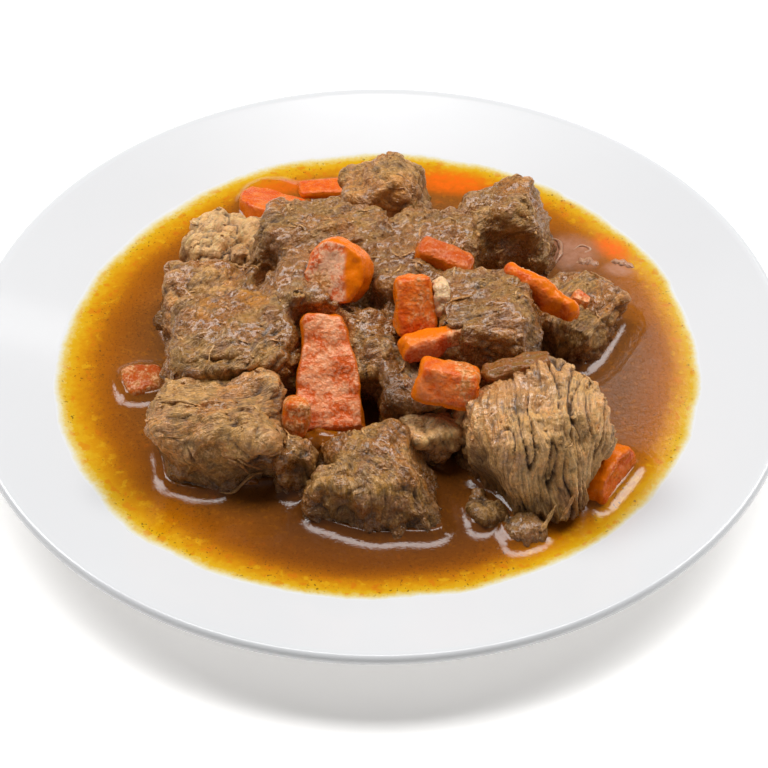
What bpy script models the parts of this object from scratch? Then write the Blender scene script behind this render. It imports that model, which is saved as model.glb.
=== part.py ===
"""Beef stew on a wide white plate: meat, carrots and onion standing in a pool of sauce.

Metres, +Z up. The origin is the centre of the plate's foot, on the table, and -Y is the front.
"""

import math

import bmesh
import bpy
from mathutils import Euler, Matrix, Vector, noise

MM = 0.001

# The plate, turned about Z.
PLATE_RADIUS = 135 * MM
PLATE_WALL = 3.8 * MM
WELL_RADIUS = 70 * MM
WELL_FLOOR = 6.5 * MM
RIM_RISE = 17.0 * MM
RIM_CURVE = 1.26
FOOT_RISE = 2.5 * MM
FOOT_OUTER = 73.5 * MM
FOOT_INNER = 69.5 * MM
FOOT_FLARE = 1.5 * MM
PLATE_STEPS = 40

# The sauce lies level in the well and thins out on the slope of the rim.
SAUCE_LEVEL = 14.0 * MM
SAUCE_EDGE = 0.6 * MM
SAUCE_STEPS = 32

# Pieces that touch keep this much air between them, and stand on a film of sauce.
GAP = 0.35 * MM
FILM = 1.2 * MM

# The heap, from its top down: a piece is dented by every piece above it in the list.
# at is the middle and size the width, depth and height, in millimetres; turn is in degrees.
# top and foot narrow the two ends and lean shifts the upper one, as shares of the size.
# soft rounds the block, from 0, a box, to 1, a ball; disc rounds only its broad outline.
# nose pushes out the middle of the front, and lumps is how uneven the piece is.
SEED = 6
HEAP = {
    "carrot_long": dict(
        at=(-16.5, -26, 31.5), size=(23, 7, 39), turn=(-57, 0, 3), top=(0.55, 1), soft=0.15, lumps=0.05
    ),
    "carrot_round": dict(at=(-13, 4, 47.5), size=(20, 9, 20), turn=(-38, 0, -28), disc=0.9, lumps=0.03),
    "carrot_back": dict(at=(21, 13, 45), size=(21, 9, 7), turn=(6, 12, -18), top=(0.85, 0.9), soft=0.22),
    "carrot_middle": dict(at=(11, -9, 45), size=(13, 8, 18), turn=(-35, 0, 8), top=(0.8, 0.9), soft=0.24),
    "carrot_strip": dict(at=(53.5, -1, 40.5), size=(28, 6, 6.5), turn=(0, 14, -38), top=(0.8, 0.8), soft=0.3),
    "carrot_bar": dict(at=(19, -22, 42), size=(25, 7, 7), turn=(0, -6, 18), top=(0.9, 0.7), soft=0.24),
    "carrot_wedge": dict(
        at=(21.5, -40, 40.5), size=(20, 12, 11), turn=(-24, 8, -8), top=(0.85, 0.8), soft=0.2
    ),
    "carrot_stub": dict(at=(-26.5, -44, 30), size=(8, 9, 12), turn=(-20, 10, 0), soft=0.4),
    "carrot_left": dict(at=(-77, -13, 13.5), size=(14, 14, 8), turn=(0, 0, 10), soft=0.55, lumps=0.1),
    "carrot_right": dict(at=(71, -57, 16.5), size=(22, 8, 17), turn=(-8, 0, 57), disc=0.9, lumps=0.04),
    "carrot_flake": dict(at=(66, 9, 31), size=(7, 5.5, 5), turn=(0, 10, -20), soft=0.4),
    "carrot_rear_left": dict(at=(-37.5, 77, 14), size=(24, 7, 25), turn=(72, 0, -24), disc=0.8, lumps=0.04),
    "carrot_rear_middle": dict(at=(-20, 83.5, 14.5), size=(19, 9, 7), turn=(0, 0, 8), soft=0.35),
    "onion_curl": dict(at=(18.5, -6, 45), size=(6, 7, 12), turn=(-30, 0, -10), soft=0.5),
    "onion_strip": dict(at=(42.5, -34, 41), size=(21, 7.5, 6), turn=(0, -8, 14), soft=0.4),
    "beef_front": dict(
        at=(0, -63, 19),
        size=(42, 24, 23),
        turn=(0, -4, -3),
        top=(0.68, 0.85),
        lean=(-0.12, 0.1),
        soft=0.25,
        nose=0.4,
    ),
    "beef_front_left": dict(
        at=(-50, -45, 23.5), size=(44, 31, 29), turn=(4, 0, -3), top=(0.9, 0.95), foot=(0.86, 0.84), soft=0.28
    ),
    "beef_front_right": dict(
        at=(47, -51, 26.5),
        size=(46, 43, 37),
        turn=(-8, -4, 27),
        top=(0.86, 0.8),
        foot=(0.9, 0.94),
        lean=(0.06, 0),
        soft=0.5,
    ),
    "beef_sinew": dict(at=(-26.5, -57, 19), size=(12, 14, 22), top=(1.1, 0.8), foot=(0.7, 1), soft=0.35),
    "beef_scrap_left": dict(at=(33, -70, 14), size=(10, 11, 9), turn=(0, 0, 10), soft=0.4, lumps=0.12),
    "beef_scrap_right": dict(at=(43, -76, 14), size=(10, 14, 8), turn=(0, 0, 20), soft=0.45, lumps=0.12),
    "beef_notch": dict(at=(15, -46, 20), size=(16, 15, 19), turn=(0, 0, 20), foot=(0.7, 0.8), soft=0.35),
    "beef_middle": dict(at=(12, -30, 22), size=(19, 20, 24), turn=(0, 0, -8), foot=(1.1, 1.1), soft=0.35),
    "beef_left": dict(
        at=(-47, -12, 25), size=(42, 34, 33), turn=(6, 0, 4), top=(0.85, 0.85), foot=(1.05, 1.15), soft=0.35
    ),
    "beef_right": dict(at=(64, 10, 19), size=(26, 32, 21), turn=(0, 0, -32), top=(0.95, 0.85), soft=0.28),
    "beef_centre_right": dict(
        at=(34, -9, 28.5), size=(31, 34, 39), turn=(0, 0, -4), top=(0.9, 0.9), foot=(1.1, 1.15), soft=0.32
    ),
    "beef_column": dict(at=(-2, -12, 24), size=(15, 26, 31), turn=(28, 0, 0), top=(0.9, 0.9), soft=0.32),
    "beef_centre": dict(
        at=(11, 13, 28), size=(31, 30, 37), turn=(0, 0, 10), top=(0.85, 0.85), foot=(1.1, 1.15), soft=0.38
    ),
    "beef_centre_left": dict(
        at=(-22, 6, 28), size=(27, 28, 37), turn=(0, 0, -8), top=(0.85, 0.85), foot=(1.1, 1.15), soft=0.38
    ),
    "beef_rear_left": dict(
        at=(-17, 34, 29),
        size=(42, 26, 31),
        turn=(0, 4, -6),
        top=(0.95, 0.8),
        lean=(-0.06, 0),
        foot=(1.05, 1.3),
        soft=0.3,
    ),
    "beef_rear_right": dict(
        at=(40, 50, 23),
        size=(29, 25, 34),
        turn=(0, -20, 4),
        top=(0.75, 0.7),
        lean=(0.2, 0),
        foot=(1, 1.35),
        soft=0.26,
    ),
    "beef_rear": dict(
        at=(0, 62, 23.5),
        size=(32, 23, 32),
        turn=(0, -23, 0),
        top=(0.7, 0.7),
        lean=(0.1, 0),
        foot=(0.95, 1.35),
        soft=0.22,
    ),
    "beef_rear_low": dict(at=(19, 38, 24), size=(24, 18, 29), foot=(1.15, 1.35), soft=0.38),
    "beef_knuckle": dict(
        at=(-48, 47, 18),
        size=(36, 24, 18),
        turn=(0, 0, -6),
        top=(0.85, 0.8),
        foot=(1.1, 1.25),
        soft=0.4,
        lumps=0.12,
    ),
    "beef_far_left": dict(
        at=(-57, 17, 20),
        size=(30, 24, 22),
        turn=(0, 0, 8),
        top=(0.85, 0.8),
        foot=(1.05, 1.3),
        soft=0.4,
        lumps=0.12,
    ),
}

COLOURS = {
    "plate": ((0.86, 0.86, 0.87, 1), 0.12),
    "sauce": ((0.36, 0.13, 0.02, 1), 0.2),
    "beef": ((0.20, 0.11, 0.05, 1), 0.45),
    "carrot": ((0.72, 0.17, 0.02, 1), 0.35),
    "onion": ((0.42, 0.28, 0.14, 1), 0.3),
}


def plate_height(radius):
    """The height of the plate's upper face at a distance from its centre."""
    out = max(radius - WELL_RADIUS, 0) / (PLATE_RADIUS - WELL_RADIUS)
    return WELL_FLOOR + RIM_RISE * out**RIM_CURVE


def radius_at(height):
    """The distance from the centre at which the plate's upper face reaches a height."""
    out = ((height - WELL_FLOOR) / RIM_RISE) ** (1 / RIM_CURVE)
    return WELL_RADIUS + out * (PLATE_RADIUS - WELL_RADIUS)


def spread(low, high, count):
    """Evenly spaced values, both ends included."""
    return [low + (high - low) * i / (count - 1) for i in range(count)]


def material(kind):
    """A plain finish for one kind of piece."""
    colour, roughness = COLOURS[kind]
    made = bpy.data.materials.get(kind) or bpy.data.materials.new(kind)
    made.use_nodes = True
    shader = made.node_tree.nodes["Principled BSDF"]
    shader.inputs["Base Color"].default_value = colour
    shader.inputs["Roughness"].default_value = roughness
    return made


def add_object(name, mesh, collection, kind):
    """Links a mesh as a named object with its kind's finish."""
    obj = bpy.data.objects.new(name, mesh)
    mesh.materials.append(material(kind))
    collection.objects.link(obj)
    return obj


def turned(name, profile, steps, collection):
    """A solid of revolution from (radius, height) points that run down its outer side."""
    mesh = bpy.data.meshes.new(name)
    points = [(radius, 0, height) for radius, height in profile]
    mesh.from_pydata(points, [(i, i + 1) for i in range(len(points) - 1)], [])
    obj = add_object(name, mesh, collection, name)
    screw = obj.modifiers.new("Turn", "SCREW")
    screw.steps = screw.render_steps = steps
    screw.use_merge_vertices = True
    screw.merge_threshold = 0.01 * MM
    return obj


def make_plate(collection):
    """The plate: a flat well, a rim that curves up to a round lip, and a foot ring."""
    lip = PLATE_WALL / 2
    edge = PLATE_RADIUS - lip
    profile = [(0, WELL_FLOOR)]
    profile += [(radius, plate_height(radius)) for radius in spread(WELL_RADIUS, edge, 5)]
    centre = plate_height(edge) - lip
    for angle in (30, -30, -90):
        turn = math.radians(angle)
        profile.append((edge + lip * math.cos(turn), centre + lip * math.sin(turn)))
    for radius in spread(edge, FOOT_OUTER + FOOT_FLARE, 4)[1:]:
        profile.append((radius, plate_height(radius) - PLATE_WALL))
    profile += [(FOOT_OUTER, 0), (FOOT_INNER, 0), (FOOT_INNER - FOOT_FLARE, FOOT_RISE), (0, FOOT_RISE)]
    return turned("plate", profile, PLATE_STEPS, collection)


def make_sauce(collection):
    """The pool of sauce, level on top and following the plate below."""
    edge = radius_at(SAUCE_LEVEL - SAUCE_EDGE - GAP)
    profile = [(0, SAUCE_LEVEL), (edge, SAUCE_LEVEL)]
    profile += [(radius, plate_height(radius) + GAP) for radius in spread(edge, WELL_RADIUS, 3)]
    profile.append((0, WELL_FLOOR + GAP))
    return turned("sauce", profile, SAUCE_STEPS, collection)


def lift_off_plate(bm, place):
    """Flattens the underside of a piece where it would reach into the plate."""
    back = place.inverted()
    for vert in bm.verts:
        point = place @ vert.co
        floor = plate_height(math.hypot(point.x, point.y)) + FILM
        if point.z < floor:
            point.z = floor
            vert.co = back @ point


def make_piece(
    name,
    collection,
    at,
    size,
    turn=(0, 0, 0),
    top=(1, 1),
    foot=(1, 1),
    lean=(0, 0),
    soft=0,
    disc=0,
    nose=0,
    lumps=0.08,
):
    """A hand-cut lump of food: a box that is rounded, tapered, leaned and made uneven."""
    bm = bmesh.new()
    bmesh.ops.create_cube(bm, size=2)
    cuts = 1 if max(size) < 15 else 2 if max(size) < 42 else 3
    bmesh.ops.subdivide_edges(bm, edges=bm.edges[:], cuts=cuts, use_grid_fill=True)
    drift = Vector((sum(map(ord, name)) * 0.37, len(name) * 1.9, at[0] * 0.21))
    for vert in bm.verts:
        point = vert.co.lerp(vert.co.normalized() * 1.15, soft)
        across = Vector((point.x, point.z))
        if across.length > 0:
            rounder = max(abs(point.x), abs(point.z)) / across.length
            point.x *= 1 + (rounder - 1) * disc
            point.z *= 1 + (rounder - 1) * disc
        point.y += nose * (1 - point.x**2) * min(point.y, 0)
        rise = (point.z + 1) / 2
        for i in range(2):
            point[i] *= foot[i] + (top[i] - foot[i]) * rise
            point[i] += 2 * lean[i] * rise
        point += noise.noise_vector(point * 0.9 + drift) * lumps * 2
        point += noise.noise_vector(point * 2.3 - drift) * lumps * 0.7
        vert.co = Vector(point[i] * size[i] / 2 * MM for i in range(3))
    angles = Euler([math.radians(angle) for angle in turn])
    place = Matrix.Translation(Vector(at) * MM) @ angles.to_matrix().to_4x4()
    lift_off_plate(bm, place)
    bmesh.ops.triangulate(bm, faces=bm.faces[:])
    mesh = bpy.data.meshes.new(name)
    bm.to_mesh(mesh)
    bm.free()
    mesh.shade_smooth()
    mesh.set_sharp_from_angle(angle=math.radians(40))
    obj = add_object(name, mesh, collection, name.split("_")[0])
    obj.matrix_world = place
    return obj


def make_cutter(obj, collection):
    """A hidden copy of a piece, grown by the gap on every side, that cuts its neighbours."""
    bm = bmesh.new()
    bm.from_mesh(obj.data)
    bm.normal_update()
    moves = [vert.normal * vert.calc_shell_factor() * GAP for vert in bm.verts]
    for vert, move in zip(bm.verts, moves):
        vert.co += move
    mesh = bpy.data.meshes.new(obj.name + "_cutter")
    bm.to_mesh(mesh)
    bm.free()
    cutter = bpy.data.objects.new(mesh.name, mesh)
    cutter.matrix_world = obj.matrix_world
    cutter.hide_render = True
    cutter.display_type = "WIRE"
    collection.objects.link(cutter)
    return cutter


def world_box(obj):
    """The lowest and highest corner of an object's mesh in the world."""
    points = [obj.matrix_world @ vert.co for vert in obj.data.vertices]
    return [[pick(p[i] for p in points) for i in range(3)] for pick in (min, max)]


def meet(first, second):
    """Whether two boxes come within the gap of each other."""
    return all(
        first[0][i] - GAP < second[1][i] and second[0][i] - GAP < first[1][i] for i in range(3)
    )


def cut(obj, cutter):
    """Takes the cutter's space out of an object."""
    dent = obj.modifiers.new(cutter.name, "BOOLEAN")
    dent.operation = "DIFFERENCE"
    dent.object = cutter


def add_collection(name):
    """A new collection in the scene."""
    made = bpy.data.collections.new(name)
    bpy.context.scene.collection.children.link(made)
    return made


def main():
    noise.seed_set(SEED)
    for obj in list(bpy.data.objects):
        bpy.data.objects.remove(obj)
    stew = add_collection("beef_stew")
    cutters = add_collection("cutters")
    make_plate(stew)
    sauce = make_sauce(stew)
    above = []
    for name, shape in HEAP.items():
        piece = make_piece(name, stew, **shape)
        box = world_box(piece)
        for cutter, cutter_box in above:
            if meet(box, cutter_box):
                cut(piece, cutter)
        above.append((make_cutter(piece, cutters), box))
    wading = add_collection("cutters_in_sauce")
    for cutter, box in above:
        if box[0][2] < SAUCE_LEVEL + GAP:
            wading.objects.link(cutter)
    hollow = sauce.modifiers.new("Hollow", "BOOLEAN")
    hollow.operand_type = "COLLECTION"
    hollow.collection = wading


main()
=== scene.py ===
import itertools
import math

import bmesh
import bpy
import numpy as np
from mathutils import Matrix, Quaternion, Vector
from mathutils.bvhtree import BVHTree


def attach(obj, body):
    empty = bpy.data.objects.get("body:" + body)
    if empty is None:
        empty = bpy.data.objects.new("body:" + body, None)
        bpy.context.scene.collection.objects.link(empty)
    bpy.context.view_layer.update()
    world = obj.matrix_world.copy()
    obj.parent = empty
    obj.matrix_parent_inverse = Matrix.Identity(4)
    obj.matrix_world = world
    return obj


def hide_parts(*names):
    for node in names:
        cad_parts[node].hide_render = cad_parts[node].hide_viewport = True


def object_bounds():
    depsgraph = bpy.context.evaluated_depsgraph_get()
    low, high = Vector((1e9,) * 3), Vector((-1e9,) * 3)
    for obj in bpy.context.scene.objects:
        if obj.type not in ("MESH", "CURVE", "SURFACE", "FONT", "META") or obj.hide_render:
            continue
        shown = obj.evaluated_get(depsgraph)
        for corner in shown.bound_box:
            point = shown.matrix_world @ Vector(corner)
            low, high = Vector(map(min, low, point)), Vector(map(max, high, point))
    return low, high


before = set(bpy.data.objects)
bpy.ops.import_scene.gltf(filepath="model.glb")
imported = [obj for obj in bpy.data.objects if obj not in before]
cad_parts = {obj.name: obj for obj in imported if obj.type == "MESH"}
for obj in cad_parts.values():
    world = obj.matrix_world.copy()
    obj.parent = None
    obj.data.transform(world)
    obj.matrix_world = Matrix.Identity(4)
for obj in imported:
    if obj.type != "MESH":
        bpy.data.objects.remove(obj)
cadLow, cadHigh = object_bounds()
mm = 0.001

# what the plate and the pool share with the CAD part, in millimetres
plate = {
    "radius": 134.7,
    "wall": 3.8,
    "well": 70.0,
    "floor": 6.5,
    "rise": 17.0,  # of the rim over the well's floor
    "riseEnd": 135.0,  # the radius at which the rim has its whole rise
    "curve": 1.26,  # 1 would be a straight slope
    "footRise": 2.5,
    "footOuter": 73.5,
    "footInner": 69.5,
    "footFlare": 1.5,
    "steps": 192,  # points in each ring
}
pool = {
    "level": 14.0,
    "edge": 110.5,  # the sauce's mesh ends here, just inside the rim's surface
    "sunk": 0.3,  # the underside reaches this far into the plate
    "fine": 0.62,  # the mesh's step where the sauce shows
    "coarse": 3.0,  # and where the heap hides it
    "inner": 33.0,  # the heap hides what lies inside this radius
    "around": 640,  # points in each ring
    "climb": 2.5,  # how high the sauce climbs where it wets a piece
    "reach": 2.4,  # how far from the piece the climb dies away
    "far": 9.0,  # where a piece no longer has any effect
    "dry": 104.0,  # no piece stands in the sauce outside this radius
    "bend": 0.7,  # how softly the level turns into the film on the rim
    "film": (-0.08, 0.16),  # how thin and how thick that film may be
    "thicken": 0.06,  # how fast it thickens inwards
    "ragged": (0.9, 0.25),  # how far the edge wanders, in broad and in fine waves
    "hidden": 30.0,  # the underside is coloured as if it were this far in from the edge
    "underside": 30.0,  # the radius of its innermost ring
}

random = np.random.default_rng(11)
slopes = random.normal(size=(256, 3))
slopes /= np.linalg.norm(slopes, axis=1)[:, None]
shuffled = random.permutation(256)


def noise(points, seed):
    # smooth gradient noise, about -1 to 1, one value for each point
    points = np.asarray(points, float) + seed * 17.37
    cell = np.floor(points).astype(np.int64)
    part = points - cell
    ease = part**3 * (part * (part * 6 - 15) + 10)
    total = np.zeros(len(points))
    for corner in itertools.product((0, 1), repeat=3):
        at = cell + corner
        pick = shuffled[at[:, 0] & 255]
        pick = shuffled[(pick + at[:, 1]) & 255]
        pick = shuffled[(pick + at[:, 2]) & 255]
        weight = np.prod(np.where(corner, ease, 1 - ease), axis=1)
        total += weight * np.einsum("ij,ij->i", slopes[pick], part - corner)
    return total * 1.6


def noiseVector(points, seed):
    return np.stack([noise(points, seed + i * 3.1) for i in range(3)], axis=1)


def step(low, high, value):
    # smooth step from 0 to 1, or from 1 to 0 where high is below low
    share = np.clip((value - low) / (high - low), 0, 1)
    return share * share * (3 - 2 * share)


def plateHeight(radius):
    out = np.maximum(radius - plate["well"], 0) / (plate["riseEnd"] - plate["well"])
    return plate["floor"] + plate["rise"] * out ** plate["curve"]


def addObject(name, data):
    made = bpy.data.objects.new(name, data)
    bpy.context.scene.collection.objects.link(made)
    return made


def meshObject(name, points, faces, smooth=True):
    # points in millimetres
    mesh = bpy.data.meshes.new(name)
    mesh.from_pydata((np.asarray(points) * mm).tolist(), [], [list(f) for f in faces])
    mesh.validate()
    if smooth:
        mesh.shade_smooth()
    return addObject(name, mesh)


def readPoints(mesh):
    points = np.empty(len(mesh.vertices) * 3)
    mesh.vertices.foreach_get("co", points)
    return points.reshape(-1, 3) / mm


def readNormals(mesh):
    normals = np.empty(len(mesh.vertices) * 3)
    mesh.vertices.foreach_get("normal", normals)
    return normals.reshape(-1, 3)


def readTriangles(mesh):
    mesh.calc_loop_triangles()
    index = np.empty(len(mesh.loop_triangles) * 3, np.int32)
    mesh.loop_triangles.foreach_get("vertices", index)
    return index.reshape(-1, 3)


def writePoints(mesh, points):
    mesh.vertices.foreach_set("co", (points * mm).ravel())
    mesh.update()


def store(mesh, **values):
    # what the material reads at each point; a bare number holds for the whole mesh
    for name, value in values.items():
        value = np.asarray(value, np.float32)
        if value.ndim == 0:
            value = np.full(len(mesh.vertices), value)
        single = value.ndim == 1
        made = mesh.attributes.new(name, "FLOAT" if single else "FLOAT_VECTOR", "POINT")
        made.data.foreach_set("value" if single else "vector", value.ravel())


def welded(nodes):
    # one mesh from CAD nodes, with the corners of neighbouring faces joined again
    bm = bmesh.new()
    for node in nodes:
        bm.from_mesh(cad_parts[node].data)
    bmesh.ops.remove_doubles(bm, verts=bm.verts[:], dist=0.02 * mm)
    mesh = bpy.data.meshes.new("welded")
    bm.to_mesh(mesh)
    bm.free()
    return mesh


def dense(name, nodes, voxel, smooth, grow=0.0, shrink=0.0):
    # a fine, even mesh over one or more CAD solids, its corners rounded by smoothing
    # growing closes the gaps between solids before it shrinks again
    source = addObject("source", welded(nodes))

    def modify(kind, **settings):
        made = source.modifiers.new(kind, kind)
        for key, value in settings.items():
            setattr(made, key, value)

    if grow:
        modify("REMESH", mode="VOXEL", voxel_size=voxel * mm)
        modify("DISPLACE", strength=grow * mm, mid_level=0.0)
    modify("REMESH", mode="VOXEL", voxel_size=voxel * mm)
    modify("SMOOTH", factor=0.5, iterations=smooth)
    if shrink:
        modify("DISPLACE", strength=-shrink * mm, mid_level=0.0)
        modify("SMOOTH", factor=0.5, iterations=3)
    ready = source.evaluated_get(bpy.context.evaluated_depsgraph_get())
    mesh = bpy.data.meshes.new_from_object(ready)
    bpy.data.objects.remove(source)
    mesh.name = name
    mesh.materials.clear()
    mesh.shade_smooth()
    return addObject(name, mesh)


def place(made, slot, *nodes):
    # a slot and its material go by one name
    made.data.materials.append(materials[slot])
    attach(made, "root")
    if nodes:
        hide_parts(*nodes)
    return made


class Wire:
    # a socket of a material's tree, or the tree alone, that adds nodes as it is used
    def __init__(self, tree, socket=None):
        self.tree = tree
        self.socket = socket

    def node(self, kind, settings=None, values=None, output=0):
        made = self.tree.nodes.new("ShaderNode" + kind)
        for name, value in (settings or {}).items():
            if name == "stops":
                ramp = made.color_ramp
                while len(ramp.elements) < len(value):
                    ramp.elements.new(1.0)
                for element, (position, tint) in zip(ramp.elements, value):
                    element.position = position
                    element.color = (*tint, 1.0)
            else:
                setattr(made, name, value)
        for name, value in (values or {}).items():
            if isinstance(value, Wire):
                self.tree.links.new(value.socket, made.inputs[name])
            else:
                made.inputs[name].default_value = value
        return Wire(self.tree, made.outputs[output])

    def calculate(self, operation, first, second):
        return self.node("Math", {"operation": operation}, {0: first, 1: second})

    def __add__(self, other):
        return self.calculate("ADD", self, other)

    def __radd__(self, other):
        return self.calculate("ADD", other, self)

    def __sub__(self, other):
        return self.calculate("SUBTRACT", self, other)

    def __rsub__(self, other):
        return self.calculate("SUBTRACT", other, self)

    def __mul__(self, other):
        return self.calculate("MULTIPLY", self, other)

    def __rmul__(self, other):
        return self.calculate("MULTIPLY", other, self)

    def atLeast(self, other):
        return self.calculate("MAXIMUM", self, other)

    def atMost(self, other):
        return self.calculate("MINIMUM", self, other)

    def step(self, low, high):
        values = {"Value": self, "From Min": low, "From Max": high}
        return self.node("MapRange", {"interpolation_type": "SMOOTHSTEP"}, values)

    def mix(self, *colours):
        # this value is the share of the second colour
        first, second = [c if isinstance(c, Wire) else (*c, 1.0) for c in colours]
        return self.node("Mix", {"data_type": "RGBA"}, {0: self, 6: first, 7: second}, output=2)

    def stretch(self, scale):
        return self.node("VectorMath", {"operation": "MULTIPLY"}, {0: self, 1: scale})

    def noise(self, scale, detail=2.0, roughness=0.5, distortion=0.0):
        values = {
            "Vector": self,
            "Scale": scale,
            "Detail": detail,
            "Roughness": roughness,
            "Distortion": distortion,
        }
        return self.node("TexNoise", None, values)

    def position(self):
        return self.node("TexCoord", output=3)

    def attribute(self, name):
        return self.node("Attribute", {"attribute_name": name}, output=2)

    def grain(self):
        return self.node("Attribute", {"attribute_name": "grain"}, output=1)

    def bump(self, distance, strength):
        # this value is the height
        return self.node("Bump", None, {"Strength": strength, "Distance": distance, "Height": self})


def colour(*parts):
    return (*parts, 1.0)


def newMaterial(name, constants):
    # a Principled material, its constant values set on its own sockets
    material = bpy.data.materials.new(name)
    material.use_nodes = True
    shader = material.node_tree.nodes["Principled BSDF"]
    for key, value in constants.items():
        shader.inputs[key].default_value = value
    return material, shader, Wire(material.node_tree)


def feed(shader, wires):
    for key, wire in wires.items():
        wire.tree.links.new(wire.socket, shader.inputs[key])


plateFinish = {
    "white": (0.73, 0.735, 0.745),
    "shade": (0.715, 0.72, 0.73),
    "roughness": 0.22,
}


def makePlateMaterial():
    look = plateFinish
    constants = {"IOR": 1.5, "Coat Weight": 0.25, "Coat Roughness": 0.08}
    material, shader, tree = newMaterial("glazed white", constants)
    at = tree.position()
    cloud = at.noise(14.0, 3.0)
    ripple = at.noise(60.0, 2.0)
    feed(shader, {
        "Base Color": cloud.step(0.3, 0.7).mix(look["shade"], look["white"]),
        "Roughness": cloud * 0.08 + (look["roughness"] - 0.04),
        "Normal": ripple.bump(0.00012, 0.25),
    })
    return material


# the sauce from its thin edge, at 0, to the deep middle, at 1
sauceFinish = {
    "stops": [
        (0.0, (0.73, 0.735, 0.74)),
        (0.03, (0.72, 0.66, 0.46)),
        (0.07, (0.70, 0.53, 0.15)),
        (0.13, (0.66, 0.38, 0.010)),
        (0.22, (0.62, 0.27, 0.002)),
        (0.33, (0.52, 0.185, 0.001)),
        (0.42, (0.40, 0.120, 0.001)),
        (0.52, (0.33, 0.092, 0.002)),
        (0.62, (0.29, 0.082, 0.004)),
        (0.76, (0.26, 0.078, 0.008)),
        (1.0, (0.21, 0.070, 0.012)),
    ],
    "oil": (0.62, 0.13, 0.004),
    "yellow": (0.66, 0.34, 0.006),
    "speck": (0.09, 0.035, 0.006),
    "mash": (0.42, 0.135, 0.006),
    "carrot": (0.82, 0.13, 0.003),
    "onion": (0.46, 0.21, 0.12),
    # the colour of the painted shade over the deep sauce at the front
    "shadeRed": (0.11, 0.026, 0.002),
    "deep": 32.0,
}


def makeSauceMaterial():
    look = sauceFinish
    constants = {"IOR": 1.46}
    material, shader, tree = newMaterial("sauce", constants)
    at = tree.position()
    inward = tree.attribute("inward")
    grit = at.noise(1300.0, 2.0, 0.6)
    grain = at.noise(480.0, 3.0, 0.65)
    cloud = at.noise(130.0, 3.0, 0.6)
    stir = (grit - 0.5) * 0.08 + (grain - 0.5) * 0.14 + (cloud - 0.5) * 0.12
    share = inward * (1 / look["deep"]) + stir * (inward.step(0.0, 6.0) * 0.7 + 0.3)
    body = share.node("ValToRGB", {"stops": look["stops"]}, {"Fac": share})
    band = inward.step(14.0, 9.0) * inward.step(1.0, 4.0)
    drops = at.noise(300.0, 2.0, 0.5)
    mixed = (drops.step(0.56, 0.66) * band * 0.75).mix(body, look["yellow"])
    mixed = (drops.step(0.42, 0.34) * band * 0.45).mix(mixed, look["oil"])
    oil = at.noise(210.0, 2.0, 0.5).step(0.64, 0.78) * inward.step(7.0, 12.0)
    mixed = (oil * 0.3).mix(mixed, look["oil"])
    specks = at.noise(1000.0, 1.0, 0.5).step(0.64, 0.72) * inward.step(1.0, 4.0)
    specks = specks * at.noise(60.0, 2.0, 0.5).step(0.46, 0.56)
    mixed = (specks * 0.7).mix(mixed, look["speck"])
    deep = inward.step(6.0, 16.0)
    mixed = (grain.step(0.52, 0.66) * deep * 0.4).mix(mixed, look["mash"])
    mixed = (grit.step(0.46, 0.34) * deep * 0.4).mix(mixed, look["speck"])
    # painted shade over the deep sauce at the front, and a little on the puddles
    mixed = tree.attribute("dark").mix(mixed, look["shadeRed"])
    for name in ("carrot", "onion"):
        sunk = tree.attribute("sunk_" + name) * (0.8 + (grain - 0.5) * 1.2)
        mixed = sunk.mix(mixed, look[name])
    feed(shader, {
        "Base Color": mixed,
        "Roughness": (1 - inward.step(0.0, 2.5)) * 0.14 + grit * 0.08 + 0.05,
        "Normal": (grit * 0.6 + grain).bump(0.00016, 0.4),
    })
    return material


meatFinish = {
    "olive": (0.31, 0.146, 0.016),
    "tan": (0.54, 0.246, 0.034),
    "ochre": (0.58, 0.198, 0.010),
    # also fine pale specks that are painted glints
    "pale": (0.88, 0.54, 0.25),
    "brown": (0.22, 0.080, 0.009),
    "gravy": (0.32, 0.104, 0.010),
    "mauve": (0.33, 0.122, 0.045),
    # partly painted light, mixed over the upper parts
    "light": (0.88, 0.54, 0.25),
    "most": (0.92, 0.80, 0.60),
    # painted shade towards the sauce, in the chinks and in the pits of the crumbs
    "dark": (0.085, 0.036, 0.009),
    # painted shade in the hollows
    "creviceShade": (0.045, 0.018, 0.005),
    "warm": (0.62, 0.23, 0.015),
}


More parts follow.
